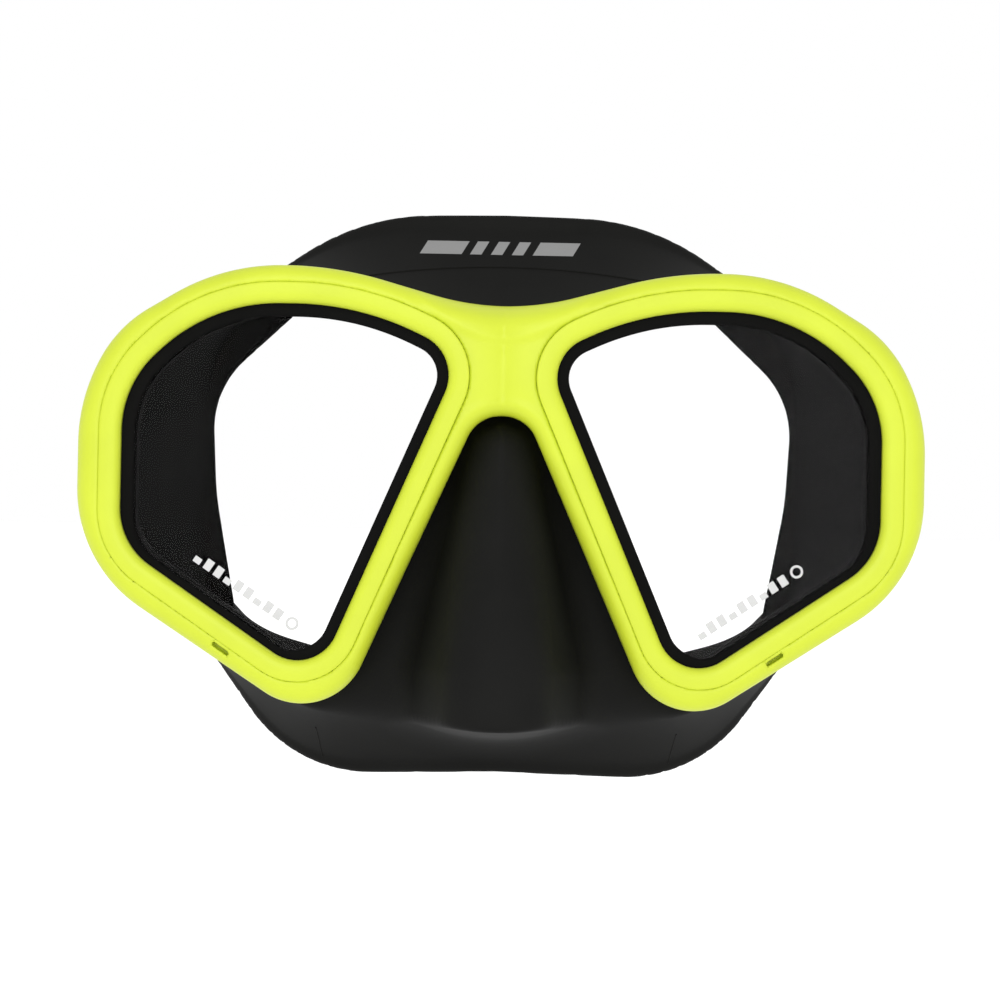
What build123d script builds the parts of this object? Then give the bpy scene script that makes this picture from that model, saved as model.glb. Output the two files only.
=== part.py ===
from build123d import *
import os
from math import cos, radians, sin

# Snorkel mask: a stiff two-window frame over a one-piece silicone skirt with a nose pocket, two
# toughened glass lenses held by snap-in bezels, and a split silicone strap on swivelling buckles.
# Millimetres. X runs across the face (+X is the wearer's left), +Y points into the face, +Z is up.
# The origin is on the face: mid-plane, eye line, mean plane of the seal.

os.makedirs("parts", exist_ok=True)

# ---- driving dimensions -------------------------------------------------------------------------

frame_front = -38.0  # Y of the frame's front face on the mid-plane
frame_depth = 10.7  # front to back thickness of the frame
wrap_radius = 400.0  # the frame bends round the face at this radius
frame_edge_radius = 3.0

lens_centre_x = 41.0  # the middle of each eye window, along X
lens_centre_y = -32.5  # Y of the glass front there
lens_toe = 6.0  # each lens turns back towards the temple by this angle, in degrees
lens_thick = 3.2
lens_cover = 1.6  # how far the glass reaches under the bezel

lip_thick = 0.9  # the skirt's soft lip over the glass edge
lip_width = 2.4
channel_cover = 2.8  # outer edge of the skirt's lens channel, from the window's edge
channel_floor = 1.2  # silicone behind the glass
bezel_width = 4.0
bezel_height = 2.7
bezel_gap = 0.2
bezel_edge_radius = 1.1

skirt_wall = 2.2
skirt_front = -27.0  # Y of the skirt's front face on the mid-plane
skirt_back = 16.0  # Y of the plane behind the seal that the side walls run out to
seal_y = -6.0  # Y of the seal on the mid-plane
seal_radius = 130.0  # the seal wraps round the face at this radius
seal_thick = 2.0

pivot_y, pivot_z = -6.0, 2.0  # the strap buckles swivel about this line, parallel to X
strap_drop = 24.0  # at rest the strap hangs below the horizontal by this angle, in degrees
strap_width = 13.0
strap_thick = 2.0
pad_height = 30.0
pad_half_length = 24.0

# ---- outlines: corners of rounded polygons, with the radius at each corner -----------------------

# frame, from the top of the bridge round the temple to the top of the nose arch
bridge_top, nose_arch_top = 34.6, 13.9
frame_corners = [(6.9, 34.6), (32, 41.5), (52.8, 41.5), (72.8, 29.5), (80, 15.9), (80, -15.5),
                 (31.5, -46.8), (4.6, 13.9)]
frame_radii = [50, 70, 40, 24, 34, 27, 12.4, 6.8]

# eye window, measured from the middle of the lens
window_corners = [(-7, -36.8), (-33.6, 25.1), (-14.1, 34.3), (13.9, 34.3), (30.75, 18.5),
                  (30.75, -11.6)]
window_radii = [8, 8, 55, 33, 20, 13]

# skirt: where it meets the frame, and its outer edge on the face
skirt_top, skirt_bottom = 33.0, -41.0
skirt_corners = [(30, 38.5), (74, 34), (74.3, -17), (36, -42)]
skirt_radii = [60, 28, 14, 12]
seal_top, seal_bottom = 52.8, -54.1
seal_corners = [(27.5, 52.3), (57.6, 32), (59.0, -24), (38.8, -55.1)]
seal_radii = [45, 24, 20, 28]

# opening in the seal for the eyes and the nose
face_top, face_bottom = 40.8, -42.8
face_corners = [(35.4, 38), (56.5, 18.6), (55.4, -2), (48.5, -38.8)]
face_radii = [20, 18, 60, 14]

# nose pocket, level by level: height, half width at its root, half width of its front, front Y
nose_levels = [(12.4, 3.6, 1.6, -36.0), (-8.0, 11.5, 5.0, -44.0), (-34.0, 17.5, 10.6, -54.5),
               (-44.0, 18.5, 11.0, -52.5), (-48.0, 17.0, 9.5, -46.0)]
nose_root_y = -22.0

# ---- planes and shared shapes -------------------------------------------------------------------

toe = radians(lens_toe)
lens_plane = Plane(
    (lens_centre_x, lens_centre_y, 0), x_dir=(cos(toe), sin(toe), 0), z_dir=(sin(toe), -cos(toe), 0)
)
drop = radians(strap_drop)
strap_plane = Plane((0, pivot_y, pivot_z), x_dir=(1, 0, 0), z_dir=(0, sin(drop), cos(drop)))
swivel_plane = Plane(strap_plane.origin, x_dir=strap_plane.y_dir, z_dir=(1, 0, 0))


def seal_depth(x):
    """Y of the face at a distance x from the mid-plane."""
    return seal_y + x**2 / (2 * seal_radius)


def half_outline(plane, top, corners, radii, bottom, grow=0.0):
    """A face that is symmetric about the mid-plane, from its half outline."""
    with BuildSketch(plane) as outline:
        with BuildLine():
            FilletPolyline((0, top), *corners, (0, bottom), radius=radii)
            mirror(about=Plane.YZ)
        make_face()
        if grow:
            offset(amount=grow)
    return outline.sketch


def window(level, grow=0.0):
    """The left eye window's outline at a height above the glass, grown outwards."""
    with BuildSketch(lens_plane.offset(level)) as outline:
        with BuildLine():
            FilletPolyline(*window_corners, radius=window_radii, close=True)
        make_face()
        if grow:
            offset(amount=grow)
    return outline.sketch


def wrap_block(front_y, back_y):
    """A block between two upright surfaces that bend round the face at the frame's radius."""
    with BuildPart() as block:
        with BuildSketch(Plane.XY.offset(-80)):
            with Locations((0, front_y + wrap_radius)):
                Circle(wrap_radius)
            with Locations((0, back_y + wrap_radius)):
                Circle(wrap_radius, mode=Mode.SUBTRACT)
            with Locations((0, front_y)):
                Rectangle(190, 60, mode=Mode.INTERSECT)
        extrude(amount=160)
    return block.part


def both_sides(solid):
    """The solid and its mirror image on the other side of the face."""
    add(solid)
    mirror(solid, about=Plane.YZ)


# ---- frame --------------------------------------------------------------------------------------

lug_half_height = 3.9
lug_inner_x, lug_outer_x = 69.8, 72.4
lug_root_inner_x, lug_root_outer_x = 74.3, 78.0
pin_radius = 1.95
pin_hole_radius = 2.0
slot_length, slot_width = 3.8, 1.1
slot_place = (10.9, -30.9)  # the latch slot in the band below the window, from the lens middle
slot_angle = 33.7
ledge_gap = 0.3
seat_depth = lens_thick + channel_floor  # depth of the lens channel behind the glass front

with BuildPart() as window_cut:
    extrude(window(lip_thick - 0.2, bezel_width + bezel_gap), amount=20)
    extrude(window(-seat_depth, channel_cover), amount=20)
    extrude(window(-30), amount=40)
    with BuildSketch(lens_plane.offset(lip_thick - 0.2)):
        with Locations(slot_place):
            Rectangle(slot_length, slot_width, rotation=slot_angle)
    extrude(amount=20)

with BuildPart() as lug:
    with BuildSketch(Plane.XY.offset(pivot_z)):
        with BuildLine():
            Polyline(
                (lug_inner_x, pivot_y + lug_half_height),
                (lug_inner_x, pivot_y - 4.6),
                (lug_root_inner_x, frame_front + 19.5),
                (lug_root_inner_x, frame_front + 16),
                (lug_root_outer_x, frame_front + 16),
                (lug_root_outer_x, frame_front + 19.5),
                (lug_outer_x, pivot_y - 5),
                (lug_outer_x, pivot_y + lug_half_height),
                close=True,
            )
        make_face()
    extrude(amount=lug_half_height, both=True)
    with BuildSketch(Plane.YZ.offset(60)):
        with Locations((pivot_y, pivot_z)):
            Circle(lug_half_height)
        with Locations((pivot_y - 15, pivot_z)):
            Rectangle(30, 2 * lug_half_height)
    extrude(amount=30, mode=Mode.INTERSECT)
    with BuildSketch(Plane.YZ.offset(60)):
        with Locations((pivot_y, pivot_z)):
            Circle(pin_hole_radius)
    extrude(amount=30, mode=Mode.SUBTRACT)

with BuildPart() as frame:
    extrude(half_outline(Plane.XZ, bridge_top, frame_corners, frame_radii, nose_arch_top), amount=60)
    add(wrap_block(frame_front, frame_front + frame_depth), mode=Mode.INTERSECT)
    fillet(frame.faces().sort_by(Axis.Y)[0].edges(), frame_edge_radius)
    add(window_cut.part, mode=Mode.SUBTRACT)
    mirror(window_cut.part, about=Plane.YZ, mode=Mode.SUBTRACT)
    both_sides(lug.part)
frame.part.label = "frame"
export_step(frame.part, "parts/frame.step")

# ---- lens and bezel of the left side -------------------------------------------------------------

with BuildPart() as lens:
    extrude(window(-lens_thick, lens_cover), amount=lens_thick)
    chamfer(lens.faces().sort_by(SortBy.AREA)[-2:].edges(), 0.3)

with BuildPart() as bezel:
    extrude(window(lip_thick, bezel_width), amount=bezel_height)
    extrude(window(lip_thick), amount=bezel_height, mode=Mode.SUBTRACT)
    front = bezel.faces().sort_by(Axis((0, 0, 0), lens_plane.z_dir))[-1]
    fillet(front.edges(), bezel_edge_radius)

# ---- skirt --------------------------------------------------------------------------------------


def side_walls(grow):
    """The skirt's body, from behind the frame to the plane behind the seal."""

    def run_out(front, seal):
        """Carry a point of the front outline through its point on the seal to the back plane."""
        reach = (seal_depth(seal[0]) - skirt_front) / (skirt_back - skirt_front)
        return tuple(f + (s - f) / reach for f, s in zip(front, seal))

    back_corners = [run_out(front, seal) for front, seal in zip(skirt_corners, seal_corners)]
    back_top = run_out((0, skirt_top), (0, seal_top))[1]
    back_bottom = run_out((0, skirt_bottom), (0, seal_bottom))[1]
    with BuildPart() as walls:
        loft(
            [
                half_outline(Plane.XZ.offset(-skirt_front), skirt_top, skirt_corners, skirt_radii,
                             skirt_bottom, grow),
                half_outline(Plane.XZ.offset(-skirt_back), back_top, back_corners, seal_radii,
                             back_bottom, grow),
            ],
            ruled=True,
        )
    return walls.part


def nose_shape(grow, back_y):
    """The nose pocket as a stack of rounded levels, from its root to its front."""
    top, bottom = nose_levels[0][0], nose_levels[-1][0]
    levels = []
    for height, root, front, front_y in nose_levels:
        rise = {top: grow, bottom: -grow}.get(height, 0)
        half_root, half_front = max(root + grow, 2.0), max(front + grow, 0.8)
        corner = 0.3 * half_front
        with BuildSketch(Plane.XY.offset(height + rise)) as level:
            with BuildLine():
                FilletPolyline(
                    (half_root, back_y),
                    (half_root, skirt_front - 3),
                    (half_front, front_y - grow),
                    (-half_front, front_y - grow),
                    (-half_root, skirt_front - 3),
                    (-half_root, back_y),
                    radius=[0.4, corner, corner, 0.4],
                )
                Line((-half_root, back_y), (half_root, back_y))
            make_face()
        levels.append(level.sketch)
    with BuildPart() as nose:
        loft(levels, ruled=True)
    return nose.part


with BuildPart() as channel:
    extrude(window(-seat_depth - 5, channel_cover - ledge_gap - 3), amount=6)
    extrude(window(-seat_depth, channel_cover - 0.05), amount=seat_depth + lip_thick)
    extrude(window(-lens_thick, lens_cover), amount=lens_thick, mode=Mode.SUBTRACT)
    extrude(window(-seat_depth - 5, -lip_width), amount=30, mode=Mode.SUBTRACT)

with BuildPart() as eye_hole:
    extrude(window(-14, -lip_width), amount=20)
    add(wrap_block(frame_front - 10, skirt_front + skirt_wall), mode=Mode.INTERSECT)

with BuildPart() as head:
    with BuildSketch(Plane.XY.offset(-90)):
        with Locations((0, seal_y + seal_radius)):
            Circle(seal_radius)
    extrude(amount=180)

with BuildPart() as cavity:
    add(side_walls(-skirt_wall))
    with BuildSketch(Plane.XY.offset(-90)):
        with Locations((0, seal_y + seal_radius)):
            Circle(seal_radius + seal_thick)
    extrude(amount=180, mode=Mode.SUBTRACT)
    add(wrap_block(skirt_front - 12, skirt_front + skirt_wall), mode=Mode.SUBTRACT)

with BuildPart() as skirt:
    add(side_walls(0))
    add(wrap_block(skirt_front - 12, skirt_front), mode=Mode.SUBTRACT)
    add(nose_shape(0, nose_root_y))
    both_sides(channel.part)
    add(cavity.part, mode=Mode.SUBTRACT)
    add(nose_shape(-skirt_wall, seal_y - 4), mode=Mode.SUBTRACT)
    add(eye_hole.part, mode=Mode.SUBTRACT)
    mirror(eye_hole.part, about=Plane.YZ, mode=Mode.SUBTRACT)
    add(head.part, mode=Mode.SUBTRACT)
    extrude(
        half_outline(Plane.XZ.offset(-40), face_top, face_corners, face_radii, face_bottom),
        amount=62,
        mode=Mode.SUBTRACT,
    )
skirt.part.label = "skirt"
export_step(skirt.part, "parts/skirt.step")

# ---- strap buckle of the left side: x across, then back along the strap, then up ------------------

ear_inner_x, ear_outer_x = 72.7, 75.0
ear_radius = 4.2
floor_x = 64.8
floor_thick = 1.3
cheek_inner, cheek_outer = 7.0, 8.6  # the buckle's two side cheeks, up and down from its middle
block_start, block_end = 4.3, 11.6
roller_x, roller_s = 71.5, 18.0
roller_radius = 2.4
roller_axle_radius = 1.0
axle_hole_radius = 1.05
wrap_centre_radius = 3.7  # centre line of the strap round its roller
lever_x, lever_s = 76.8, 10.2  # the release lever's hinge pin
lever_pin_radius = 0.8
lever_hole_radius = 0.85
lever_boss_radius = 1.5
lever_inner_x, lever_outer_x = 76.4, 77.9
spring_s = 6.6
spring_radius, spring_wire = 1.2, 0.35
spring_pocket_radius = 1.7
spring_seat_x = 71.6
spring_slack = 0.45  # the spring is drawn pressed, this far short of the resting lever

with BuildPart() as buckle_body:
    # floor, cheeks and the block between them
    with BuildSketch(strap_plane.offset(-cheek_outer)):
        with BuildLine():
            Polyline(
                (floor_x, block_start), (ear_outer_x, block_start), (78.2, block_start + 3),
                (78.2, lever_s + 3), (75.6, 24), (floor_x + 2, 24), (floor_x, 22), close=True,
            )
        make_face()
    extrude(amount=2 * cheek_outer)
    with BuildSketch(strap_plane.offset(-cheek_inner)):
        with Locations(((floor_x + floor_thick + 80) / 2, (block_end + 30) / 2)):
            Rectangle(80 - floor_x - floor_thick, 30 - block_end)
        with Locations((ear_outer_x + 5, block_start + 8)):
            Rectangle(10, 18)
    extrude(amount=2 * cheek_inner, mode=Mode.SUBTRACT)
    cheek_corners = buckle_body.edges().filter_by(Axis((0, 0, 0), strap_plane.z_dir))
    outer_corners = cheek_corners.filter_by(lambda e: e.length < 2 and e.center().X > ear_outer_x + 0.1)
    fillet(outer_corners, 0.8)
    # the ear beside the frame's lug, with the space in front of the block left open
    with BuildSketch(swivel_plane.offset(ear_inner_x)):
        Circle(ear_radius)
        with Locations(((block_start + 1) / 2, 0)):
            Rectangle(block_start + 1, 2 * ear_radius)
    extrude(amount=ear_outer_x - ear_inner_x)
    with BuildSketch(swivel_plane):
        Circle(pin_radius)
    extrude(amount=90, mode=Mode.SUBTRACT)
    # bores for the roller's axle, the lever pin and the spring
    with BuildSketch(strap_plane.offset(-cheek_outer)):
        with Locations((roller_x, roller_s)):
            Circle(axle_hole_radius)
        with Locations((lever_x, lever_s)):
            Circle(lever_pin_radius)
    extrude(amount=2 * cheek_outer, mode=Mode.SUBTRACT)
    with BuildSketch(swivel_plane.offset(spring_seat_x)):
        with Locations((spring_s, 0)):
            Circle(spring_pocket_radius)
    extrude(amount=10, mode=Mode.SUBTRACT)

with BuildPart() as pivot_pin:
    with BuildSketch(Plane((lug_inner_x - 0.3, pivot_y, pivot_z), z_dir=(1, 0, 0))):
        Circle(pin_radius)
    extrude(amount=ear_outer_x - lug_inner_x + 0.3)
    with BuildSketch(Plane((lug_inner_x - 0.3, pivot_y, pivot_z), z_dir=(-1, 0, 0))):
        Circle(3.2)
    extrude(amount=0.9)
    chamfer(pivot_pin.edges().sort_by(Axis.X)[:1], 0.3)

with BuildPart() as strap_roller:
    with BuildSketch(strap_plane.offset(-cheek_inner + 0.3)):
        with Locations((roller_x, roller_s)):
            Circle(roller_radius)
            with PolarLocations(roller_radius, 12):
                Circle(0.3, mode=Mode.SUBTRACT)
    extrude(amount=2 * (cheek_inner - 0.3))
    with BuildSketch(strap_plane.offset(-cheek_outer)):
        with Locations((roller_x, roller_s)):
            Circle(roller_axle_radius)
    extrude(amount=2 * cheek_outer)

with BuildPart() as release_lever:
    with BuildSketch(strap_plane.offset(-cheek_inner + 0.5)):
        with BuildLine():
            Polyline(
                (lever_inner_x, 0.8), (lever_outer_x, 0.8), (lever_outer_x, 15.8),
                (lever_inner_x - 0.7, 15.6), (lever_inner_x - 0.7, 13.8), (lever_inner_x, 13.4),
                close=True,
            )
        make_face()
        with Locations((lever_x, lever_s)):
            Circle(lever_boss_radius)
        with Locations([(lever_outer_x, 2 + 1.4 * i) for i in range(4)]):
            Circle(0.35, mode=Mode.SUBTRACT)
    extrude(amount=2 * (cheek_inner - 0.5))
    with BuildSketch(strap_plane.offset(-cheek_outer)):
        with Locations((lever_x, lever_s)):
            Circle(lever_hole_radius)
    extrude(amount=2 * cheek_outer, mode=Mode.SUBTRACT)

with BuildPart() as lever_pin:
    with BuildSketch(strap_plane.offset(-cheek_outer)):
        with Locations((lever_x, lever_s)):
            Circle(lever_pin_radius)
    extrude(amount=2 * cheek_outer)

with BuildPart() as lever_spring:
    spring_foot = strap_plane.from_local_coords((spring_seat_x + spring_wire, spring_s, 0))
    spring_length = lever_inner_x - spring_slack - spring_seat_x - 2 * spring_wire
    with BuildLine() as coil:
        Helix(
            pitch=spring_length / 5, height=spring_length, radius=spring_radius,
            center=spring_foot, direction=(1, 0, 0),
        )
    with BuildSketch(Plane(coil.line @ 0, z_dir=coil.line % 0)):
        Circle(spring_wire / 2)
    sweep(is_frenet=True)

# ---- strap and keeper ---------------------------------------------------------------------------

strap_route = [(67.0, 30), (60, 62), (50, 92), (28, 108)]
strap_route_radii = [60, 80, 30, 40]
tail_route = [(73.6, 27), (67.6, 38), (66.4, 45)]
split_half_length, split_half_height = 19.0, 3.0

with BuildPart() as strap:
    with BuildSketch(strap_plane.offset(-pad_height / 2)):
        with BuildLine():
            FilletPolyline(
                (roller_x - wrap_centre_radius, roller_s), *strap_route, (0, strap_route[-1][1]),
                radius=strap_route_radii,
            )
            ThreePointArc(
                (roller_x - wrap_centre_radius, roller_s),
                (roller_x, roller_s - wrap_centre_radius),
                (roller_x + wrap_centre_radius, roller_s),
            )
            FilletPolyline(
                (roller_x + wrap_centre_radius, roller_s), *tail_route, radius=[20, 20],
            )
        trace(line_width=strap_thick)
        mirror(about=Plane.YZ)
    extrude(amount=pad_height)
    with BuildSketch(Plane(strap_plane.origin, x_dir=(1, 0, 0), z_dir=-strap_plane.y_dir)):
        with BuildLine():
            FilletPolyline(
                (0, pad_height / 2), (pad_half_length, pad_height / 2),
                (pad_half_length + 11, strap_width / 2), (90, strap_width / 2), (90, 0),
                radius=[6, 12, 0],
            )
            mirror(about=Plane.YZ)
            mirror(about=Plane.XZ)
        make_face()
        SlotOverall(2 * split_half_length, 2 * split_half_height, mode=Mode.SUBTRACT)
    extrude(amount=-150, mode=Mode.INTERSECT)
strap.part.label = "strap"
export_step(strap.part, "parts/strap.step")

keeper_start, keeper_end = 35.5, 41.5
keeper_wall, keeper_gap = 1.2, 0.15
leg_x = (65.56, 64.3)  # centre line of the strap's leg at the keeper's two ends, across the face
tail_x = (69.0, 67.0)  # and of its tail


def keeper_outline(clear):
    """Parallelogram round the strap's leg and tail, this far outside their faces."""
    reach = strap_thick / 2 + clear
    with BuildLine() as outline:
        Polyline(
            (leg_x[0] - reach, keeper_start), (tail_x[0] + reach, keeper_start),
            (tail_x[1] + reach, keeper_end), (leg_x[1] - reach, keeper_end), close=True,
        )
    return outline.line


with BuildPart() as strap_keeper:
    with BuildSketch(strap_plane):
        make_face(keeper_outline(keeper_gap + keeper_wall).edges())
    extrude(amount=strap_width / 2 + keeper_gap + keeper_wall, both=True)
    with BuildSketch(strap_plane):
        make_face(keeper_outline(keeper_gap).edges())
    extrude(amount=strap_width / 2 + keeper_gap, both=True, mode=Mode.SUBTRACT)

# ---- the left pieces and their mirror images on the right ----------------------------------------

paired = {
    "lens": lens,
    "lens_bezel": bezel,
    "buckle_body": buckle_body,
    "pivot_pin": pivot_pin,
    "strap_roller": strap_roller,
    "release_lever": release_lever,
    "lever_pin": lever_pin,
    "lever_spring": lever_spring,
    "strap_keeper": strap_keeper,
}
for node, piece in paired.items():
    piece.part.label = f"{node}_left"
    export_step(piece.part, f"parts/{node}_left.step")
    with BuildPart() as twin:
        mirror(piece.part, about=Plane.YZ)
    twin.part.label = f"{node}_right"
    export_step(twin.part, f"parts/{node}_right.step")
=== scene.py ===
from math import atan2, cos, pi, radians, sin, tan

import bpy
import numpy as np
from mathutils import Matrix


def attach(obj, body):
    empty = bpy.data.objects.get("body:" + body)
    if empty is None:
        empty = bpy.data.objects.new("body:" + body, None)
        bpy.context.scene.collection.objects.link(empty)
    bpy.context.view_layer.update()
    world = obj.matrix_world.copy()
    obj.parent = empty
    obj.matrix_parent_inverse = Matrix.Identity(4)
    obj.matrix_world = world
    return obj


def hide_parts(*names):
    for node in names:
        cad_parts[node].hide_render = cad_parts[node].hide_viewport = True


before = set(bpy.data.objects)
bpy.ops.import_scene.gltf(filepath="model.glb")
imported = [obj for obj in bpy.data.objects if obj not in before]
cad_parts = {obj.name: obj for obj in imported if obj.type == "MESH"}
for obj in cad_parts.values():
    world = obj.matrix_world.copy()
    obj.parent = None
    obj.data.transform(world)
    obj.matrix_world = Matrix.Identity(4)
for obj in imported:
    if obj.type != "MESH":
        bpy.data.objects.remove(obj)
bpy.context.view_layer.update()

# Snorkel mask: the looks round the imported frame. All sizes are in millimetres in the same frame as
# the CAD (X across the face, +Y into the face, +Z up) and become metres when a mesh is made.

MM = 0.001

# ---- sizes shared with the CAD ------------------------------------------------------------------

LENS_X, LENS_Y = 41.0, -32.5  # middle of the left lens's front
TOE = radians(6)
WRAP_RADIUS = 400.0
FRAME_BACK = -27.3
SKIRT_FRONT = -27.0
SEAL_Y, SEAL_RADIUS = -6.0, 130.0
SKIRT_WALL = 2.2
PIVOT_Y, PIVOT_Z = -6.0, 2.0
DROP = radians(24)

FRAME_CORNERS = [(6.9, 34.6), (32, 41.5), (52.8, 41.5), (72.8, 29.5), (80, 15.9), (80, -15.5),
                 (31.5, -46.8), (4.6, 13.9)]
FRAME_RADII = [50, 70, 40, 24, 34, 27, 12.4, 6.8]
WINDOW_CORNERS = [(-7, -36.8), (-33.6, 25.1), (-14.1, 34.3), (13.9, 34.3), (30.75, 18.5),
                  (30.75, -11.6)]
WINDOW_RADII = [8, 8, 55, 33, 20, 13]
SKIRT_CORNERS = [(0, 33), (30, 38.5), (74, 34), (74.3, -17), (36, -42), (0, -41)]
SKIRT_RADII = [60, 28, 14, 12]
SEAL_CORNERS = [(0, 52.8), (27.5, 52.3), (57.7, 32), (58.9, -27.3), (38.8, -55.1), (0, -54.1)]
SEAL_RADII = [45, 24, 20, 28]
FACE_CORNERS = [(0, 40.8), (35.4, 38), (56.5, 18.6), (55.4, -2), (48.5, -38.8), (0, -42.8)]
FACE_RADII = [20, 18, 60, 14]


# ---- distance fields ----------------------------------------------------------------------------

ARC_STEP = 0.12  # the widest angle between points round a corner, in radians
SLAB_PLANES = 24  # planes of a field worked out at a time
SLOPE_NUDGE = 0.04  # a field's slope is the difference across twice this
PROJECTIONS = 3  # moves of each vertex along the slope, onto the surface
LONGEST_MOVE = 0.4  # of a cell, in one such move
FLATTEST_SLOPE = 0.05  # squared, so that no move runs off where a field is flat


class Outline:
    """Signed distance in a plane to a clockwise polygon with rounded corners, negative inside."""

    def __init__(self, corners, radii, closed=True):
        points = [np.array(c, float) for c in corners]
        if closed:
            ring = [points[-1]] + points + [points[0]]
        else:
            ring = points
        self.lines, self.arcs, self.order = [], [], []
        for before, corner, after, radius in zip(ring, ring[1:], ring[2:], radii):
            into = (corner - before) / np.linalg.norm(corner - before)
            out = (after - corner) / np.linalg.norm(after - corner)
            turn = atan2(into[0] * out[1] - into[1] * out[0], into @ out)
            reach = radius * tan(abs(turn) / 2)
            first, last = corner - into * reach, corner + out * reach
            bulge = 1 if turn < 0 else -1
            centre = first + radius * bulge * np.array([into[1], -into[0]])
            middle = (corner - centre) / np.linalg.norm(corner - centre)
            arc = (centre, radius, middle, abs(turn) / 2, bulge)
            self.arcs.append(arc)
            self.order.append((first, last, arc))
        ends = [(a[1], b[0]) for a, b in zip(self.order, self.order[1:])]
        self.start = None if closed else points[0]
        self.finish = self.order[0][0] if closed else points[-1]
        ends.append((self.order[-1][1], self.finish))
        if not closed:
            ends.insert(0, (self.start, self.order[0][0]))
        for a, b in ends:
            length = np.linalg.norm(b - a)
            self.lines.append((a, (b - a) / length, length))

    def __call__(self, u, v):
        best = np.inf
        for a, d, length in self.lines:
            qu, qv = u - a[0], v - a[1]
            along = np.clip(qu * d[0] + qv * d[1], 0, length)
            away = np.hypot(qu - along * d[0], qv - along * d[1])
            away = np.where(d[0] * qv - d[1] * qu > 0, away, -away)
            best = np.where(np.abs(away) < np.abs(best), away, best)
        for centre, radius, middle, half, bulge in self.arcs:
            qu, qv = u - centre[0], v - centre[1]
            rho = np.hypot(qu, qv)
            away = bulge * (rho - radius)
            near = (qu * middle[0] + qv * middle[1] >= rho * cos(half)) & (np.abs(away) < np.abs(best))
            best = np.where(near, away, best)
        return best

    def walk(self, pitch):
        """Points along the outline with their outward normals, about a pitch apart."""
        points, normals = [], []
        nexts = [first for first, _, _ in self.order[1:]] + [self.finish]
        if self.start is not None:
            first = self.order[0][0]
            run = np.linalg.norm(first - self.start)
            steps = max(int(run / pitch), 1)
            ahead = (first - self.start) / run
            for i in range(steps):
                points.append(self.start + (first - self.start) * i / steps)
                normals.append(np.array([-ahead[1], ahead[0]]))
        for (_, last, arc), after in zip(self.order, nexts):
            centre, radius, middle, half, bulge = arc
            steps = max(int(2 * half * radius / pitch), int(2 * half / ARC_STEP), 2)
            for i in range(steps + 1):
                angle = -bulge * half * (2 * i / steps - 1)
                turned = np.array([middle[0] * cos(angle) - middle[1] * sin(angle),
                                   middle[0] * sin(angle) + middle[1] * cos(angle)])
                points.append(centre + radius * turned)
                normals.append(bulge * turned)
            run = np.linalg.norm(after - last)
            steps = max(int(run / pitch), 1)
            for i in range(1, steps + (self.start is not None and after is self.finish)):
                points.append(last + (after - last) * i / steps)
                normals.append(normals[-1])
        return np.array(points), np.array(normals)


def smooth_union(a, b, k):
    """Union of two fields with a fillet about k wide where they meet."""
    h = np.clip(0.5 + 0.5 * (b - a) / k, 0, 1)
    return b + (a - b) * h - k * h * (1 - h)


def smooth_cut(a, b, k):
    """Intersection of two fields with its edge eased by about k."""
    return -smooth_union(-a, -b, k)


def round_edge(a, b, radius):
    """Intersection of two fields whose edge is a true arc of this radius."""
    corner = np.hypot(a + radius, b + radius) - radius
    return np.where((a > -radius) & (b > -radius), corner, np.maximum(a, b))


def ramp(value, low, high):
    """0 below low, 1 above high, smooth between."""
    t = np.clip((value - low) / (high - low), 0, 1)
    return t * t * (3 - 2 * t)


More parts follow.
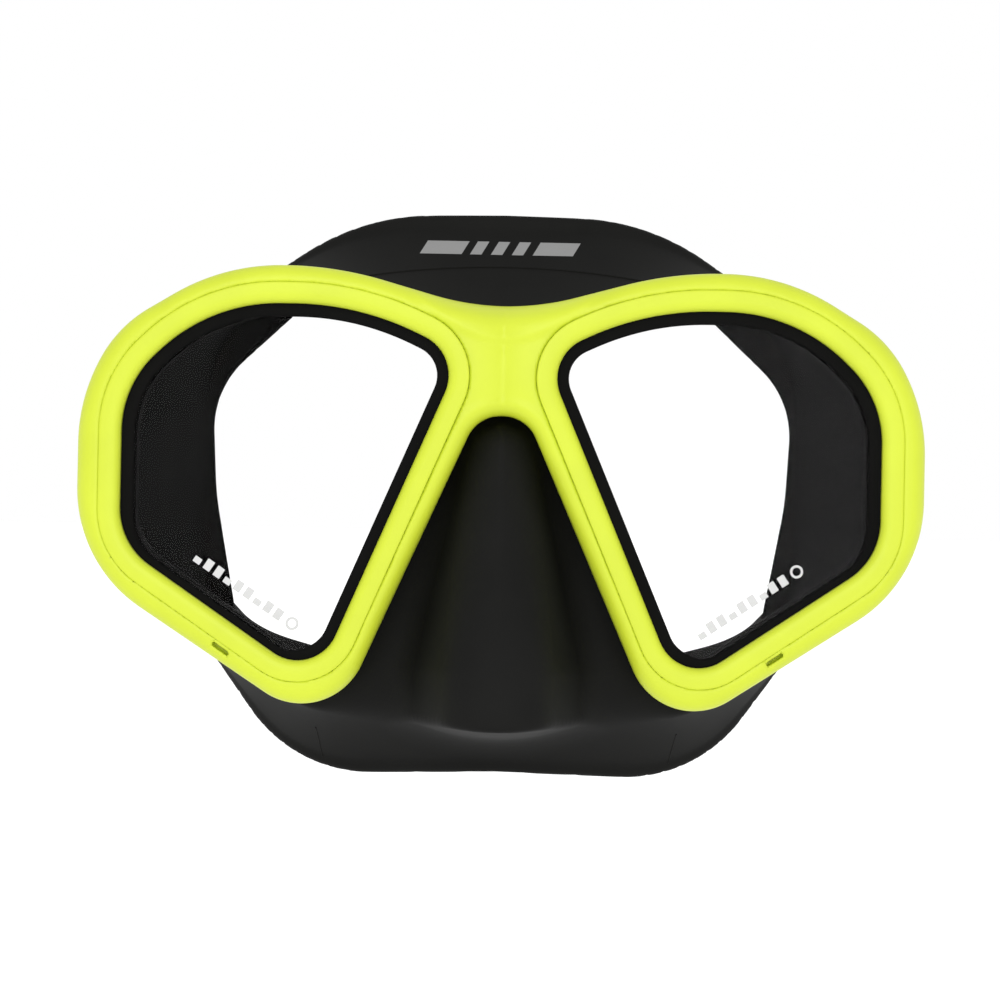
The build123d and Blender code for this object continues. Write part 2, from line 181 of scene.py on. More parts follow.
def surface(field, low, high, step):
    """Vertices and quads on the zero level of a field, inside a box, by surface nets."""
    axes = [np.arange(a, b + step, step) for a, b in zip(low, high)]
    y, z = axes[1][None, :, None], axes[2][None, None, :]
    slabs = np.array_split(axes[0], max(1, len(axes[0]) // SLAB_PLANES))
    shape = (axes[1].size, axes[2].size)
    values = np.concatenate(
        [np.broadcast_to(field(s[:, None, None], y, z), (s.size,) + shape) for s in slabs]
    )
    inside = values < 0
    cells = tuple(n - 1 for n in values.shape)
    count = np.zeros(cells, np.int8)
    corners = [np.array([i, j, k]) for i in (0, 1) for j in (0, 1) for k in (0, 1)]
    for i, j, k in corners:
        count += inside[i:cells[0] + i, j:cells[1] + j, k:cells[2] + k]
    index = np.argwhere((count > 0) & (count < 8))
    total, hits = np.zeros((len(index), 3)), np.zeros((len(index), 1))
    for a in corners:
        for b in corners:
            if (b - a).sum() != 1 or (b - a).min() < 0:
                continue
            va, vb = (values[tuple((index + c).T)] for c in (a, b))
            crosses = (va < 0) != (vb < 0)
            t = np.where(crosses, va / np.where(crosses, va - vb, 1), 0)[:, None]
            total += np.where(crosses[:, None], a + t * (b - a), 0)
            hits += crosses[:, None]
    points = np.array(low) + step * (index + total / hits)
    number = np.full(cells, -1, np.int64)
    number[tuple(index.T)] = np.arange(len(index))
    quads = []
    for axis, (a, b) in enumerate(((1, 2), (2, 0), (0, 1))):
        ahead = [slice(None)] * 3
        here = [slice(None)] * 3
        ahead[axis], here[axis] = slice(1, None), slice(None, -1)
        edges = np.argwhere(inside[tuple(here)] != inside[tuple(ahead)])
        keep = (edges[:, a] > 0) & (edges[:, b] > 0)
        keep &= (edges[:, a] < cells[a]) & (edges[:, b] < cells[b])
        edges = edges[keep]
        ea, eb = np.eye(3, dtype=int)[a], np.eye(3, dtype=int)[b]
        quad = np.stack([number[tuple((edges - shift).T)] for shift in (0, ea, ea + eb, eb)], axis=1)
        outward = inside[tuple(edges.T)]
        quads.append(np.where(outward[:, None], quad, quad[:, ::-1]))
    quads = np.concatenate(quads)
    steps = np.eye(3) * SLOPE_NUDGE
    for _ in range(PROJECTIONS):
        here = field(*points.T)
        slope = np.stack(
            [field(*(points + e).T) - field(*(points - e).T) for e in steps], axis=1
        ) / (2 * SLOPE_NUDGE)
        move = slope * (here / np.maximum((slope ** 2).sum(1), FLATTEST_SLOPE))[:, None]
        size = np.linalg.norm(move, axis=1, keepdims=True)
        points = points - move * np.minimum(1, LONGEST_MOVE * step / np.maximum(size, 1e-9))
    return points, quads


# ---- meshes -------------------------------------------------------------------------------------


def add_mesh(name, points, faces, material, body, slot, replaces=(), smooth=True):
    """A new piece from points in millimetres, riding on a body."""
    mesh = bpy.data.meshes.new(name)
    mesh.from_pydata((np.asarray(points) * MM).tolist(), [], [list(map(int, f)) for f in faces])
    mesh.validate()
    mesh.polygons.foreach_set("use_smooth", [smooth] * len(mesh.polygons))
    mesh.materials.append(material)
    piece = bpy.data.objects.new(name, mesh)
    bpy.context.collection.objects.link(piece)
    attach(piece, body)
    if replaces:
        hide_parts(*replaces)
    return piece


def mirrored(points, faces):
    """The same surface on the other side of the face."""
    return np.asarray(points) * (-1, 1, 1), [list(f)[::-1] for f in faces]


def lens_coordinates(x, y, z):
    """Across, up and forward from the middle of the left lens's front."""
    return (
        (x - LENS_X) * cos(TOE) + (y - LENS_Y) * sin(TOE),
        z,
        (x - LENS_X) * sin(TOE) - (y - LENS_Y) * cos(TOE),
    )


def from_lens(u, v, w):
    """The point with these lens coordinates."""
    return np.stack(
        [LENS_X + u * cos(TOE) + w * sin(TOE), LENS_Y + u * sin(TOE) - w * cos(TOE), v], axis=-1
    )


def ring(outline, profile, pitch=1.0, widen=None):
    """A closed profile of (outwards, forwards) pairs carried round an outline in the lens plane."""
    points, normals = outline.walk(pitch)
    profile = np.array(profile, float)
    out = np.repeat(profile[None, :, 0], len(points), axis=0)
    if widen is not None:
        out = out + widen(normals)[:, None] * np.clip(-out, 0, None)
    at = points[:, None, :] + normals[:, None, :] * out[..., None]
    level = np.broadcast_to(profile[None, :, 1], out.shape)
    solid = from_lens(at[..., 0], at[..., 1], level)
    n, m = solid.shape[:2]
    i, j = np.meshgrid(np.arange(n), np.arange(m), indexing="ij")
    a, b = (i + 1) % n, (j + 1) % m
    quads = np.stack([i * m + j, i * m + b, a * m + b, a * m + j], axis=-1).reshape(-1, 4)
    return solid.reshape(-1, 3), quads


# ---- materials ----------------------------------------------------------------------------------


def new_material(name, colour, roughness, grain_size, grain_depth, tint=0.03, specular=0.5, bump=0.3):
    """Moulded plastic or rubber: fine surface grain, a faint mottle in colour and in gloss."""
    material = bpy.data.materials.new(name)
    material.use_nodes = True
    nodes, links = material.node_tree.nodes, material.node_tree.links
    shader = nodes["Principled BSDF"]
    shader.inputs["Specular IOR Level"].default_value = specular
    place = nodes.new("ShaderNodeTexCoord")
    mottle = nodes.new("ShaderNodeTexNoise")
    mottle.inputs["Scale"].default_value = 90
    mottle.inputs["Detail"].default_value = 3
    shade = nodes.new("ShaderNodeValToRGB")
    shade.color_ramp.elements[0].position = 0.3
    shade.color_ramp.elements[1].position = 0.7
    shade.color_ramp.elements[0].color = [c * (1 - tint) for c in colour] + [1]
    shade.color_ramp.elements[1].color = [min(1, c * (1 + tint)) for c in colour] + [1]
    links.new(place.outputs["Object"], mottle.inputs["Vector"])
    links.new(mottle.outputs["Fac"], shade.inputs["Fac"])
    links.new(shade.outputs["Color"], shader.inputs["Base Color"])
    gloss = nodes.new("ShaderNodeMapRange")
    gloss.inputs["To Min"].default_value = roughness - 0.05
    gloss.inputs["To Max"].default_value = roughness + 0.05
    links.new(mottle.outputs["Fac"], gloss.inputs["Value"])
    links.new(gloss.outputs["Result"], shader.inputs["Roughness"])
    grain = nodes.new("ShaderNodeTexNoise")
    grain.inputs["Scale"].default_value = 1 / (grain_size * MM)
    grain.inputs["Detail"].default_value = 2
    relief = nodes.new("ShaderNodeBump")
    relief.inputs["Strength"].default_value = bump
    relief.inputs["Distance"].default_value = grain_depth * MM
    links.new(place.outputs["Object"], grain.inputs["Vector"])
    links.new(grain.outputs["Fac"], relief.inputs["Height"])
    links.new(relief.outputs["Normal"], shader.inputs["Normal"])
    return material


YELLOW = (0.55, 0.64, 0.032)
yellow = new_material("satin_yellow_plastic", YELLOW, 0.42, 0.35, 0.02, specular=0.35)
silicone = new_material("matte_black_silicone", (0.0076, 0.0076, 0.0071), 0.64, 0.3, 0.03, 0.1, 0.07)
# a darker, rougher copy of the black silicone: painted shade for the skirt's inner faces and the lens
# lips, which sit in shadow
silicone_painted_shade = new_material("black_silicone_painted_shade", (0.0055, 0.0055, 0.0053), 0.8, 0.3, 0.03, 0.1, 0.03)
black_plastic = new_material("black_acetal", (0.02, 0.02, 0.021), 0.4, 0.25, 0.02, 0.08, 0.4)
print_white = new_material("white_print", (0.55, 0.55, 0.55), 0.5, 0.2, 0.004)
print_grey = new_material("grey_print", (0.22, 0.22, 0.22), 0.5, 0.2, 0.004)


def new_glass():
    """Clear toughened glass."""
    material = bpy.data.materials.new("toughened_glass")
    material.use_nodes = True
    shader = material.node_tree.nodes["Principled BSDF"]
    shader.inputs["Base Color"].default_value = (1, 1, 1, 1)
    shader.inputs["Transmission Weight"].default_value = 1
    shader.inputs["Roughness"].default_value = 0
    shader.inputs["IOR"].default_value = 1.12
    return material


def new_steel():
    """Drawn stainless wire and turned pins, with a fine grain on the metal."""
    material = new_material("stainless_steel", (0.55, 0.55, 0.56), 0.3, 0.15, 0.01, 0.05)
    material.node_tree.nodes["Principled BSDF"].inputs["Metallic"].default_value = 1
    return material


glass = new_glass()
steel = new_steel()

coarse = 1.0

# ---- frame --------------------------------------------------------------------------------------

frame_outline = Outline([(0, 34.6)] + FRAME_CORNERS + [(0, 13.9)], FRAME_RADII, closed=False)
window_outline = Outline(WINDOW_CORNERS, WINDOW_RADII)
RIM_HEIGHT = 3.5  # the frame's front, from the glass
FRAME_EDGE, BACK_EDGE = 2.6, 0.8  # radii of the frame's outer edges, front and back
FALL_START, FALL_RATE = 3.0, 0.028  # outside this distance from the window the front curves back
BRIDGE_HALF, BRIDGE_END = 4, 26  # the bridge's own shape is full up to here and gone there
BRIDGE_LOW, BRIDGE_HIGH, TOP_RATE, TOP_BAND = 20, 27, 0.15, 4.2
BROW_HEIGHT, BROW_CURVE, BROW_DROP = 27.2, 0.03, 0.6  # the crease under the bridge's rolled top
ARCH_BEAD = 0.3  # height of the bead round the nose arch
NOSE_TURN = 6.0  # the two lens planes blend within this distance of the middle
BEZEL_WIDTH, BEZEL_GAP = 4.0, 0.05
LIP_THICK, CHANNEL, SEAT_DEPTH = 0.9, 2.8, 4.4
SLOT_U, SLOT_V, SLOT_ANGLE = 10.9, -30.9, radians(33.7)
SLOT_LONG, SLOT_HIGH, SLOT_FLOOR = 1.9, 0.42, 0.9  # half length, half height, and floor over the glass
LUG_X, LUG_HALF, LUG_THICK, PIN_HOLE = 71.1, 3.9, 1.3, 2.0
LUG_LEAN, LEAN_BACK, LEAN_FRONT, LUG_FRONT = 5.0, 10.8, 19.0, 23.0  # the arm leans out to meet the rim


def slot_distance(u, v):
    """The latch slot in the band below the window."""
    along = (u - SLOT_U) * cos(SLOT_ANGLE) + (v - SLOT_V) * sin(SLOT_ANGLE)
    across = (v - SLOT_V) * cos(SLOT_ANGLE) - (u - SLOT_U) * sin(SLOT_ANGLE)
    return np.maximum(np.abs(along) - SLOT_LONG, np.abs(across) - SLOT_HIGH)


def frame_field(x, y, z):
    """The frame's moulding, with the windows, channels, bezel pockets and latch slots cut out."""
    rim = frame_outline(np.abs(x), z)
    u, v, w = lens_coordinates(np.abs(x), y, z)
    window = window_outline(u, v)
    soft_w = lens_coordinates(np.sqrt(x * x + NOSE_TURN ** 2), y, z)[2]
    fall = FALL_RATE * np.maximum(window - FALL_START, 0) ** 2
    middle = 1 - ramp(np.abs(x), BRIDGE_HALF, BRIDGE_END)
    brow = BROW_HEIGHT + BROW_CURVE * x * x
    top = ramp(z, BRIDGE_LOW, BRIDGE_HIGH) * TOP_RATE * np.maximum(TOP_BAND + rim, 0) ** 2
    fall = fall + middle * (top + BROW_DROP * (1 - ramp(z - brow, -0.3, 1.6)))
    arch = (1 - ramp(z, 19, 24)) * (1 - ramp(np.abs(x), 10, 16)) * ramp(rim, -3.8, -2.3)
    front = soft_w - RIM_HEIGHT + fall - ARCH_BEAD * arch
    body = round_edge(rim, front, FRAME_EDGE)
    body = round_edge(body, y - FRAME_BACK - x * x / (2 * WRAP_RADIUS), BACK_EDGE)
    pocket = np.maximum(window - BEZEL_WIDTH + BEZEL_GAP, LIP_THICK - 0.2 - w)
    channel = np.maximum(window - CHANNEL, -SEAT_DEPTH - w)
    slot = np.maximum(slot_distance(u, v), SLOT_FLOOR - w)
    hole = np.minimum(np.minimum(pocket, channel), np.minimum(window, slot))
    return smooth_cut(body, -hole, 0.2)


def lug_field(x, y, z):
    """The arm behind the left temple that holds the strap buckle's pin."""
    lean = ramp(-y, LEAN_BACK, LEAN_FRONT)
    thick = np.abs(x - LUG_X - LUG_LEAN * lean) * (1 - 0.3 * lean * (1 - lean))
    thick = thick - LUG_THICK - 0.5 * lean
    edge = np.where(y > PIVOT_Y, np.hypot(y - PIVOT_Y, z - PIVOT_Z), np.abs(z - PIVOT_Z)) - LUG_HALF
    arm = np.maximum(round_edge(thick, edge, 0.6), -LUG_FRONT - y)
    return smooth_cut(arm, PIN_HOLE - np.hypot(y - PIVOT_Y, z - PIVOT_Z), 0.3)


points, quads = surface(frame_field, (-82, -43, -43), (82, -17, 44), 0.5 * coarse)
add_mesh("frame_shell", points, quads, yellow, "mask", "frame", ["frame"])
points, quads = surface(lug_field, (68, -24, -3), (79, -1, 7), 0.35 * coarse)
add_mesh("buckle_lug_left", points, quads, yellow, "mask", "frame", ["frame"])
add_mesh("buckle_lug_right", *mirrored(points, quads), yellow, "mask", "frame", ["frame"])

# ---- skirt --------------------------------------------------------------------------------------

skirt_outline = Outline(SKIRT_CORNERS, SKIRT_RADII, closed=False)
seal_outline = Outline(SEAL_CORNERS, SEAL_RADII, closed=False)
face_outline = Outline(FACE_CORNERS, FACE_RADII, closed=False)
SEAL_THICK = 2.0
# the nose pocket narrows upwards from its root and from its front
NOSE_HEIGHTS = (-47, -34, -12.4, 2.3, 9.7, 12.6)
NOSE_ROOT = (17.0, 17.2, 12.5, 9.0, 6.9, 5.7)
NOSE_FRONT = (8.6, 8.6, 6.5, 4.7, 3.5, 2.4)
NOSE_ROOT_Y = -25.0
NOSE_SLOPE, NOSE_LEAN = 0.4, 0.93  # how fast the front comes forward going down, and its cosine
NOSE_START_Y, NOSE_TIP_Y = -40.9, -54.4  # the front at mid height, and the furthest forward it comes
NOSE_TOP, NOSE_BOTTOM = 13.0, -45.5
BOTTOM_CURVE, BOTTOM_TILT, BOTTOM_Y = 0.012, 0.08, -48
TIP_EASE, SIDE_EASE, BOTTOM_EASE, TOP_EASE = 4.0, 8.0, 1.1, 5.0


def nose_field(x, y, z, grow):
    """The nose pocket: two leaning sides, a sloping front and a curved underside, rounded together."""
    root = np.interp(z, NOSE_HEIGHTS, NOSE_ROOT)
    front = np.interp(z, NOSE_HEIGHTS, NOSE_FRONT)
    front_y = np.maximum(NOSE_SLOPE * z + NOSE_START_Y, NOSE_TIP_Y)
    a, b = root - front, NOSE_ROOT_Y - front_y
    side = ((np.abs(x) - root) * b - (y - NOSE_ROOT_Y) * a) / np.hypot(a, b)
    face = smooth_cut((NOSE_SLOPE * z + NOSE_START_Y - y) * NOSE_LEAN, NOSE_TIP_Y - y, TIP_EASE)
    body = smooth_cut(side, face, SIDE_EASE)
    under = NOSE_BOTTOM + BOTTOM_CURVE * x * x - BOTTOM_TILT * (y - BOTTOM_Y)
    body = smooth_cut(body, under - z, BOTTOM_EASE)
    return smooth_cut(body, z - NOSE_TOP, TOP_EASE) - grow


def seal_plane(x):
    """Y of the face that the skirt seals on."""
    return SEAL_Y + SEAL_RADIUS - np.sqrt(np.maximum(SEAL_RADIUS ** 2 - x * x, 1))


WALL_BOW = 0.45  # how much later than evenly the walls spread from frame to seal
TEMPLE_START, TEMPLE_END = 44, 58  # beside the temples they spread evenly
WALL_SLOPE = 0.8  # evens out the field where the walls lean


def wall_field(x, y, z):
    """The skirt's side, between the outline behind the frame and the outline on the face."""
    front = SKIRT_FRONT + x * x / (2 * WRAP_RADIUS)
    t = np.clip((y - front) / (seal_plane(x) - front), -0.3, 1.2)
    flare = t - WALL_BOW * (t - t * t) * (1 - ramp(np.abs(x), TEMPLE_START, TEMPLE_END))
    wall = skirt_outline(np.abs(x), z) * (1 - flare) + seal_outline(np.abs(x), z) * flare
    return wall * WALL_SLOPE


EDGE_EASE, CHIN_EASE = 1.5, 6.0  # the front edge's rounding, and how much more it has under the nose
OUTER_JOIN, INNER_JOIN = 4.0, 4.0  # fillets where the nose pocket meets the walls


def skirt_faces(x, y, z):
    """Distances from the skirt's outer face and from its inner one, before they're cut to a lip."""
    side = wall_field(x, y, z)
    front = SKIRT_FRONT + x * x / (2 * WRAP_RADIUS) - y
    seal = y - seal_plane(x)
    ease = EDGE_EASE + CHIN_EASE * ramp(-z, 24, 38) * (1 - ramp(np.abs(x), 20, 40))
    outer = smooth_cut(smooth_cut(side, front, ease), seal + 0.8, 0.5)
    outer = smooth_union(outer, np.maximum(nose_field(x, y, z, 0), y + 12), OUTER_JOIN)
    inner = smooth_cut(smooth_cut(side + SKIRT_WALL, front + SKIRT_WALL, ease), seal + 1.8, 1.5)
    pocket = np.maximum(nose_field(x, y, z, -SKIRT_WALL), y + 8)
    return outer, smooth_union(inner, pocket, INNER_JOIN)


def skirt_field(x, y, z):
    """The silicone skirt: a thin shell, its rolled lip on the face and the two lens openings."""
    outer, inner = skirt_faces(x, y, z)
    shell = np.maximum(outer, -inner)
    seal = y - seal_plane(x)
    half = SEAL_THICK / 2
    band = np.maximum(seal_outline(np.abs(x), z) + half, half - face_outline(np.abs(x), z))
    lip = np.where(band > 0, np.hypot(band, seal + half), np.abs(seal + half)) - half
    lip = np.where(band > 0, lip, np.maximum(lip, band - half))
    opening = np.maximum(face_outline(np.abs(x), z), -9 - y)
    shell = smooth_union(np.maximum(shell, -opening), lip, 1.2)
    u, v, w = lens_coordinates(np.abs(x), y, z)
    front = SKIRT_FRONT + x * x / (2 * WRAP_RADIUS)
    window = np.maximum(window_outline(u, v) + 1.5, y - front - 5)
    return np.maximum(shell, -window)


def inside_skirt(x, y, z):
    """Whether a point on the skirt is on its inner face."""
    outer, inner = skirt_faces(x, y, z)
    return (np.abs(inner) < np.abs(outer)) & (y < seal_plane(x) - 0.3)


SKIRT_LOW, SKIRT_HIGH = (-78, -58, -57), (78, 18, 55)
points, quads = surface(skirt_field, SKIRT_LOW, SKIRT_HIGH, 0.8 * coarse)
skirt_body = add_mesh("skirt_body", points, quads, silicone, "mask", "skirt", ["skirt"])
# the skirt's inner faces take the darker copy of the silicone: painted shade
skirt_body.data.materials.append(silicone_painted_shade)
skirt_body.data.polygons.foreach_set(
    "material_index", inside_skirt(*points[np.asarray(quads)].mean(axis=1).T).astype(int))


def on_skirt(x, z, proud):
    """Points in front of the skirt at these places across and up, standing this far proud."""
    x, z = np.asarray(x, float), np.asarray(z, float)
    start, step, halvings = SKIRT_LOW[1], 0.5, 12
    near, far = np.full(x.shape, float(start)), np.full(x.shape, float(start))
    found = np.zeros(x.shape, bool)
    for level in np.arange(start, 0, step):
        hit = (skirt_field(x, level + 0 * x, z) < 0) & ~found
        near, far = np.where(hit, level - step, near), np.where(hit, level, far)
        found |= hit
    for _ in range(halvings):
        middle = (near + far) / 2
        hit = skirt_field(x, middle, z) < 0
        near, far = np.where(hit, near, middle), np.where(hit, middle, far)
    return np.stack([x, far - proud, z], axis=-1)


def bead(name, x, z, radius):
    """A thin raised line moulded on the skirt."""
    centre = on_skirt(x, z, 0)
    ahead = np.gradient(centre, axis=0)
    ahead /= np.linalg.norm(ahead, axis=1, keepdims=True)
    side = np.cross(ahead, (0, 1, 0))
    side /= np.linalg.norm(side, axis=1, keepdims=True)
    up = np.cross(side, ahead)
    sides = 8
    turn = np.arange(sides) * 2 * pi / sides
    tube = centre[:, None] + radius * (
        side[:, None] * np.cos(turn)[None, :, None] + up[:, None] * np.sin(turn)[None, :, None]
    )
    n = len(centre)
    quads = [
        (i * sides + j, i * sides + (j + 1) % sides, (i + 1) * sides + (j + 1) % sides,
         (i + 1) * sides + j)
        for i in range(n - 1) for j in range(sides)
    ]
    ends = [tuple(range(sides))[::-1], tuple((n - 1) * sides + j for j in range(sides))]
    add_mesh(name, tube.reshape(-1, 3), quads + ends, silicone, "mask", "skirt")


LINE_HALF, LINE_HEIGHT, LINE_CURVE, LINE_RADIUS = 27, 42.6, 0.0034, 0.22
across = np.linspace(-LINE_HALF, LINE_HALF, 90)
bead("forehead_line", across, LINE_HEIGHT - LINE_CURVE * across ** 2, LINE_RADIUS)
SEAM_X, SEAM_TOP, SEAM_BOTTOM, SEAM_LEAN, SEAM_RADIUS = 34.5, -46, -52, 0.2, 0.12
down = np.linspace(SEAM_TOP, SEAM_BOTTOM, 20)
for side, sign in (("left", 1), ("right", -1)):
    bead(f"mould_seam_{side}", sign * (SEAM_X + (down - SEAM_TOP) * SEAM_LEAN), down, SEAM_RADIUS)

# ---- lens lips, bezels and lenses ---------------------------------------------------------------

# closed sections as (outwards from the window's edge, forwards from the glass)
LIP_PROFILE = [(2.75, 0.85), (0.5, 0.9), (-1.6, 0.85), (-2.2, 0.6), (-2.4, 0.2), (-2.35, 0.02),
               (1.5, 0.02), (1.55, -3.2), (-2.3, -3.25), (-2.4, -3.6), (-2.2, -4.4), (-2.2, -7.5),
               (-1.2, -7.5), (2.3, -7.4), (2.3, -4.4), (2.75, -4.3)]
BEZEL_PROFILE = [(0.0, 0.95), (0.0, 2.1), (0.2, 2.75), (0.6, 3.25), (1.2, 3.55), (2.0, 3.65),
                 (2.8, 3.62), (3.5, 3.58), (3.88, 3.54), (3.98, 3.45), (4.0, 3.2), (4.0, 0.95)]


def lower_lip(normals):
    """The lip is wider along the straight lower edge."""
    return 0.45 * np.clip(normals @ np.array([0.55, -0.83]), 0, 1) ** 4


# the lens lips take the darker copy of the silicone: painted shade, which also hides their highlight line
for side, turn in (("left", False), ("right", True)):
    for name, profile, material, node, record_slot, widen in (
        ("lens_lip", LIP_PROFILE, silicone_painted_shade, "skirt", "skirt", lower_lip),
        ("bezel_ring", BEZEL_PROFILE, yellow, f"lens_bezel_{side}", "bezel", None),
    ):
        points, quads = ring(window_outline, profile, 1.0, widen)
        if turn:
            points, quads = mirrored(points, quads)
        add_mesh(f"{name}_{side}", points, quads, material, "mask", record_slot, [node])

# ---- strap --------------------------------------------------------------------------------------

# the strap's right-hand half seen from above: tail end, round the roller, back to the middle
STRAP_CORNERS = [(67.6, 38), (73.6, 27), (75.2, 18), (75.2, 14.3), (67.8, 14.3), (67, 30), (60, 62),
                 (50, 92), (28, 108)]
STRAP_RADII = [20, 20, 8, 3.7, 3.7, 60, 80, 30, 40]
STRAP_WIDTH, STRAP_THICK, PAD_HEIGHT, PAD_HALF = 13.0, 2.0, 30.0, 24.0
SPLIT_HALF, SPLIT_HEIGHT = 19.0, 3.0
RIB_PITCH, RIB_DEPTH = 2.6, 0.3
PANEL_DEPTH, LINE_DEPTH, LINE_UP = 0.35, 0.2, 3.4  # the pad's sunk panel, and the moulded lines' place
STRAP_EDGE = 0.7

strap_outline = Outline([(66.4, 45)] + STRAP_CORNERS + [(0, 108)], STRAP_RADII, closed=False)
route, _ = strap_outline.walk(0.5)
route = np.concatenate([route, route[-2::-1] * (-1, 1)])
travel = np.concatenate([[0], np.cumsum(np.linalg.norm(np.diff(route, axis=0), axis=1))])
keep = np.concatenate([[True], np.diff(travel) > 1e-6])
route, travel = route[keep], travel[keep]
heading = np.gradient(route, travel, axis=0)
heading /= np.linalg.norm(heading, axis=1, keepdims=True)
strap_length = travel[-1]
middle = strap_length / 2


def strap_point(across, back, up):
    """A point given across the face, back along the strap's plane and up from it."""
    return np.stack(
        [across, PIVOT_Y + back * cos(DROP) + up * sin(DROP),
         PIVOT_Z - back * sin(DROP) + up * cos(DROP)], axis=-1)


def strap_field(p, n, t):
    """The flat strap: along its length, up its width and through its thickness."""
    x = np.abs(p - middle)
    n = np.abs(n)
    spread = 1 - ramp(x, PAD_HALF - 1, PAD_HALF + 12)
    half = STRAP_WIDTH / 2 + (PAD_HEIGHT - STRAP_WIDTH) / 2 * spread
    end = x - middle
    side = n - half
    edge = round_edge(side, end, STRAP_WIDTH / 2 - 0.5)
    split = np.hypot(np.maximum(x - SPLIT_HALF + SPLIT_HEIGHT, 0), n) - SPLIT_HEIGHT
    edge = np.maximum(edge, -split)
    inside = -edge
    panel = PANEL_DEPTH * ramp(inside, 1.6, 2.1) * spread
    ribs = RIB_DEPTH * (1 - ramp(-end, 40, 42)) * ramp(-end, 4, 5) * ramp(inside, 1.2, 1.5)
    ribs = ribs * ramp(np.cos((p - middle) * 2 * pi / RIB_PITCH), -0.3, 0.5)
    line = LINE_DEPTH * (1 - ramp(np.abs(n - LINE_UP), 0.25, 0.5)) * ramp(-end, 46, 48)
    line = line * (1 - spread)
    outer = t - STRAP_THICK / 2 + panel + ribs + line
    inner = -t - STRAP_THICK / 2 + 0.5 * panel
    return round_edge(round_edge(edge, outer, STRAP_EDGE), inner, STRAP_EDGE)


def bend(points):
    """Carry points of the flat strap onto its route."""
    p = np.clip(points[:, 0], 0, strap_length)
    place = [np.interp(p, travel, route[:, k]) for k in (0, 1)]
    ahead = np.stack([np.interp(p, travel, heading[:, k]) for k in (0, 1)], axis=1)
    ahead /= np.linalg.norm(ahead, axis=1, keepdims=True)
    t = points[:, 2]
    return strap_point(place[0] - ahead[:, 1] * t, place[1] + ahead[:, 0] * t, points[:, 1])


points, quads = surface(
    strap_field, (-1.5, -PAD_HEIGHT / 2 - 1, -1.6), (strap_length + 1.5, PAD_HEIGHT / 2 + 1, 1.6),
    0.45 * coarse)
add_mesh("strap_band", bend(points), quads, silicone, "strap_loop", "strap", ["strap"])

KEEPER_MIDDLE, KEEPER_HALF, KEEPER_WALL, KEEPER_GAP = 38.5, 3.0, 1.2, 0.15
LEG_X, TAIL_X = (65.56, 64.3), (69.0, 67.0)


def keeper_field(x, s, n):
    """A soft loop round the strap's leg and tail."""
    slide = (s - KEEPER_MIDDLE + KEEPER_HALF) / (2 * KEEPER_HALF)
    low = LEG_X[0] + slide * (LEG_X[1] - LEG_X[0]) - STRAP_THICK / 2 - KEEPER_GAP
    high = TAIL_X[0] + slide * (TAIL_X[1] - TAIL_X[0]) + STRAP_THICK / 2 + KEEPER_GAP
    u = np.abs(x - (low + high) / 2) - (high - low) / 2
    v = np.abs(n) - STRAP_WIDTH / 2 - KEEPER_GAP
    outer = round_edge(u - KEEPER_WALL, v - KEEPER_WALL, 1.8)
    waist = 0.25 * (1 - ramp(np.abs(s - KEEPER_MIDDLE), 1.4, 2.0))
    body = round_edge(outer + waist, np.abs(s - KEEPER_MIDDLE) - KEEPER_HALF, 0.5)
    return smooth_cut(body, -np.maximum(u, v), 0.4)


points, quads = surface(keeper_field, (61, 34, -9.5), (73, 43, 9.5), 0.3 * coarse)
loop = strap_point(*points.T)
for side, shape in (("left", (loop, quads)), ("right", mirrored(loop, quads))):
    add_mesh(f"keeper_loop_{side}", *shape, silicone, "strap_loop", "strap", [f"strap_keeper_{side}"])

# ---- plain printed marks ------------------------------------------------------------------------


def bar(left, right, low, high, slant=0.0):
    """The corners of a slanted bar."""
    return [(left, low), (right, low), (right + slant, high), (left + slant, high)]


MARK_BARS, BAR_PITCH, BAR_WIDTH, BAR_HEIGHTS = 9, 2.3, 1.5, (1.2, 2.1, 2.1)
RING_STEPS, RING_HEIGHT, RING_RADII = 28, 1.1, (1.25, 0.8)
MARK_INSET = 5.3  # from the window's lower edge to the marks
MARK_START = 8.6  # along that edge from the window's lowest corner
MARK_PROUD = 0.04  # the print's face over the glass


def lens_marks():
    """A row of plain bars and a small ring, as flat corners and faces."""
    points, faces = [], []
    for i in range(MARK_BARS):
        faces.append([len(points) + k for k in range(4)])
        left = i * BAR_PITCH
        points += bar(left, left + BAR_WIDTH, 0, BAR_HEIGHTS[i % 3])
    first, middle = len(points), MARK_BARS * BAR_PITCH + 1.6
    for i in range(RING_STEPS):
        a = 2 * pi * i / RING_STEPS
        points += [(middle + r * cos(a), RING_HEIGHT + r * sin(a)) for r in RING_RADII]
        j = (i + 1) % RING_STEPS
        faces.append([first + 2 * i, first + 2 * j, first + 2 * j + 1, first + 2 * i + 1])
    return np.array(points), faces


marks, mark_faces = lens_marks()
low, high = np.array(WINDOW_CORNERS[0], float), np.array(WINDOW_CORNERS[-1], float)
edge_way = (high - low) / np.linalg.norm(high - low)
edge_in = np.array([-edge_way[1], edge_way[0]])
length = MARK_BARS * BAR_PITCH + 3
for side, sign in (("left", 1), ("right", -1)):
    # each row reads from the viewer's left to right
    along = MARK_START + (marks[:, 0] if side == "left" else length - marks[:, 0])
    at = low + along[:, None] * edge_way + (MARK_INSET + marks[:, 1:]) * edge_in
    points = from_lens(at[:, 0], at[:, 1], np.full(len(at), MARK_PROUD))
    faces = mark_faces
    if side == "right":
        points = points * (-1, 1, 1)
    add_mesh(f"lens_marks_{side}", points, faces, print_white, "mask", "lens", smooth=False)

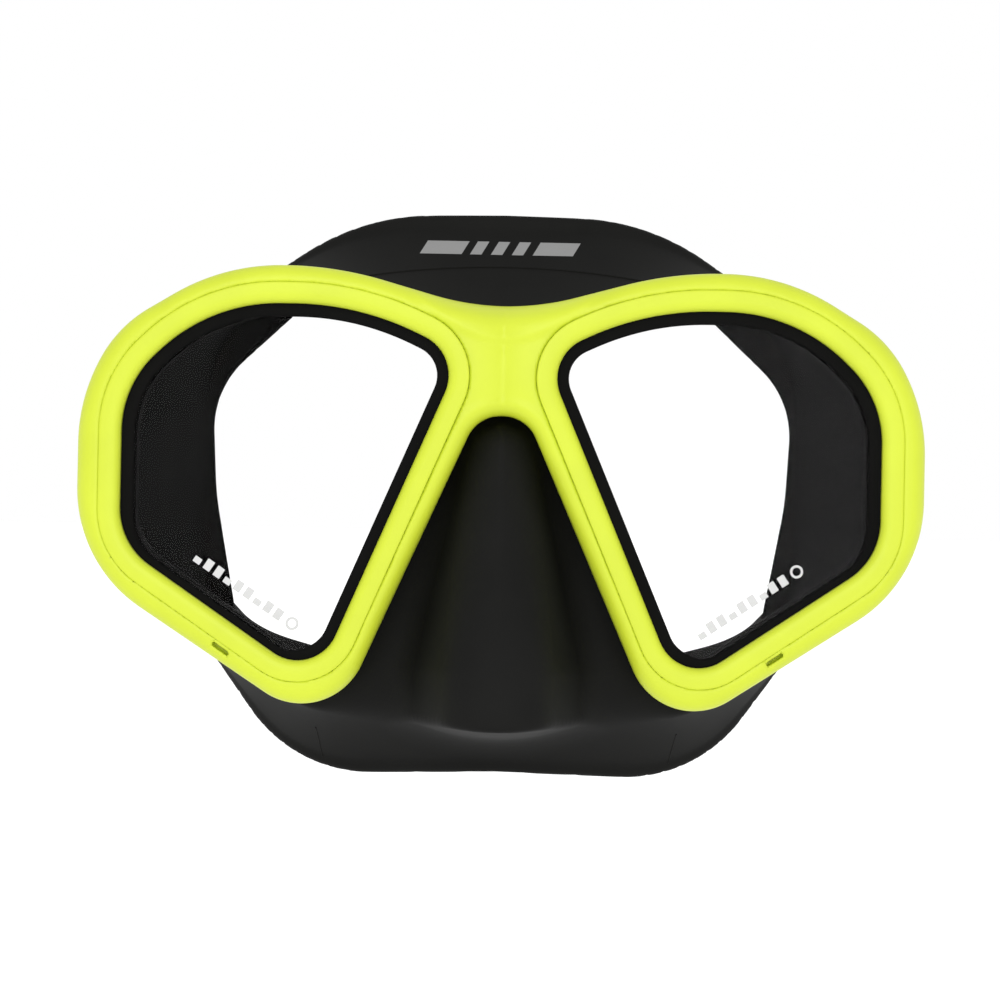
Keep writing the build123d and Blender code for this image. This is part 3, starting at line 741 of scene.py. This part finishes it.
# a plain row of slanted bars on the forehead
MOTIF_BARS = ((-16.4, -8.4), (-6.8, -4.6), (-2.8, -0.6), (1.2, 3.4), (5.2, 12.9))
MOTIF_LOW, MOTIF_HIGH, MOTIF_SLANT, MOTIF_STEPS, MOTIF_PROUD = 45.0, 47.6, 1.5, 8, 0.06
motif, motif_faces = [], []
for left, right in MOTIF_BARS:
    first = len(motif)
    for i in range(MOTIF_STEPS + 1):
        run = left + (right - left) * i / MOTIF_STEPS
        motif += [(run, MOTIF_LOW), (run + MOTIF_SLANT, MOTIF_HIGH)]
    motif_faces += [[first + 2 * i, first + 2 * i + 2, first + 2 * i + 3, first + 2 * i + 1]
                    for i in range(MOTIF_STEPS)]
motif = on_skirt(*np.array(motif).T, MOTIF_PROUD)
add_mesh("forehead_motif", motif, motif_faces, print_grey, "mask", "skirt", smooth=False)

# ---- CAD nodes that stay -------------------------------------------------------------------------

NODE_MATERIALS = {
    "lens": glass, "buckle_body": black_plastic, "pivot_pin": steel, "strap_roller": black_plastic,
    "release_lever": yellow, "lever_pin": steel, "lever_spring": steel,
}
for node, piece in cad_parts.items():
    for start, material in NODE_MATERIALS.items():
        if node.startswith(start + "_left") or node.startswith(start + "_right"):
            for material_slot in piece.material_slots:
                material_slot.material = material

# ---- stage --------------------------------------------------------------------------------------

floor_mesh = bpy.data.meshes.new("floor")
FLOOR_Z, FLOOR_REACH = -0.16, 30.0
floor_mesh.from_pydata(
    [(-FLOOR_REACH, -FLOOR_REACH, FLOOR_Z), (FLOOR_REACH, -FLOOR_REACH, FLOOR_Z),
     (FLOOR_REACH, FLOOR_REACH, FLOOR_Z), (-FLOOR_REACH, FLOOR_REACH, FLOOR_Z)], [], [(0, 1, 2, 3)])
floor = bpy.data.objects.new("floor", floor_mesh)
pale = new_material("pale_floor", (0.6, 0.6, 0.6), 0.8, 2.0, 0.05, 0.01)
pale.node_tree.nodes["Principled BSDF"].inputs["Emission Color"].default_value = (1, 1, 1, 1)
pale.node_tree.nodes["Principled BSDF"].inputs["Emission Strength"].default_value = 0.6
floor_mesh.materials.append(pale)
bpy.context.collection.objects.link(floor)

world = bpy.data.worlds.new("studio")
bpy.context.scene.world = world
world.use_nodes = True
sky_nodes, sky_links = world.node_tree.nodes, world.node_tree.links
sky_place = sky_nodes.new("ShaderNodeTexCoord")
sky_split = sky_nodes.new("ShaderNodeSeparateXYZ")
sky_shade = sky_nodes.new("ShaderNodeMapRange")
sky_shade.interpolation_type = "SMOOTHSTEP"
for socket, value in (("From Min", 0.12), ("From Max", 0.95), ("To Min", 1.0), ("To Max", 0.85)):
    sky_shade.inputs[socket].default_value = value
sky_links.new(sky_place.outputs["Generated"], sky_split.inputs["Vector"])
sky_links.new(sky_split.outputs["Z"], sky_shade.inputs["Value"])
sky_links.new(sky_shade.outputs["Result"], sky_nodes["Background"].inputs["Color"])


def softbox(name, place, size, power):
    """A square area light aimed at the mask."""
    light = bpy.data.lights.new(name, "AREA")
    light.size = size
    light.energy = power
    lamp = bpy.data.objects.new(name, light)
    lamp.location = place
    lamp.rotation_euler = (-lamp.location).to_track_quat("-Z", "Y").to_euler()
    bpy.context.collection.objects.link(lamp)


softbox("key_light", (-0.15, -1.3, 0.45), 0.8, 6)
softbox("fill_light", (0.5, -1.2, 0.0), 0.6, 1.5)

# ---- camera -------------------------------------------------------------------------------------

VIEW_WIDTH = 188.5 * MM  # what the picture's width spans, at the frame's temples
FRAME_TEMPLE_Y = -31 * MM
CAMERA_DISTANCE = 1.2
camera_data = bpy.data.cameras.new("camera")
camera_data.angle = 2 * atan2(VIEW_WIDTH / 2, CAMERA_DISTANCE)
camera_data.clip_end = 100
camera = bpy.data.objects.new("camera", camera_data)
camera.location = (-0.1 * MM, FRAME_TEMPLE_Y - CAMERA_DISTANCE, -1.9 * MM)
camera.rotation_euler = (pi / 2, radians(-1.15), 0)
bpy.context.collection.objects.link(camera)
bpy.context.scene.camera = camera
bpy.context.scene.view_settings.view_transform = "Standard"
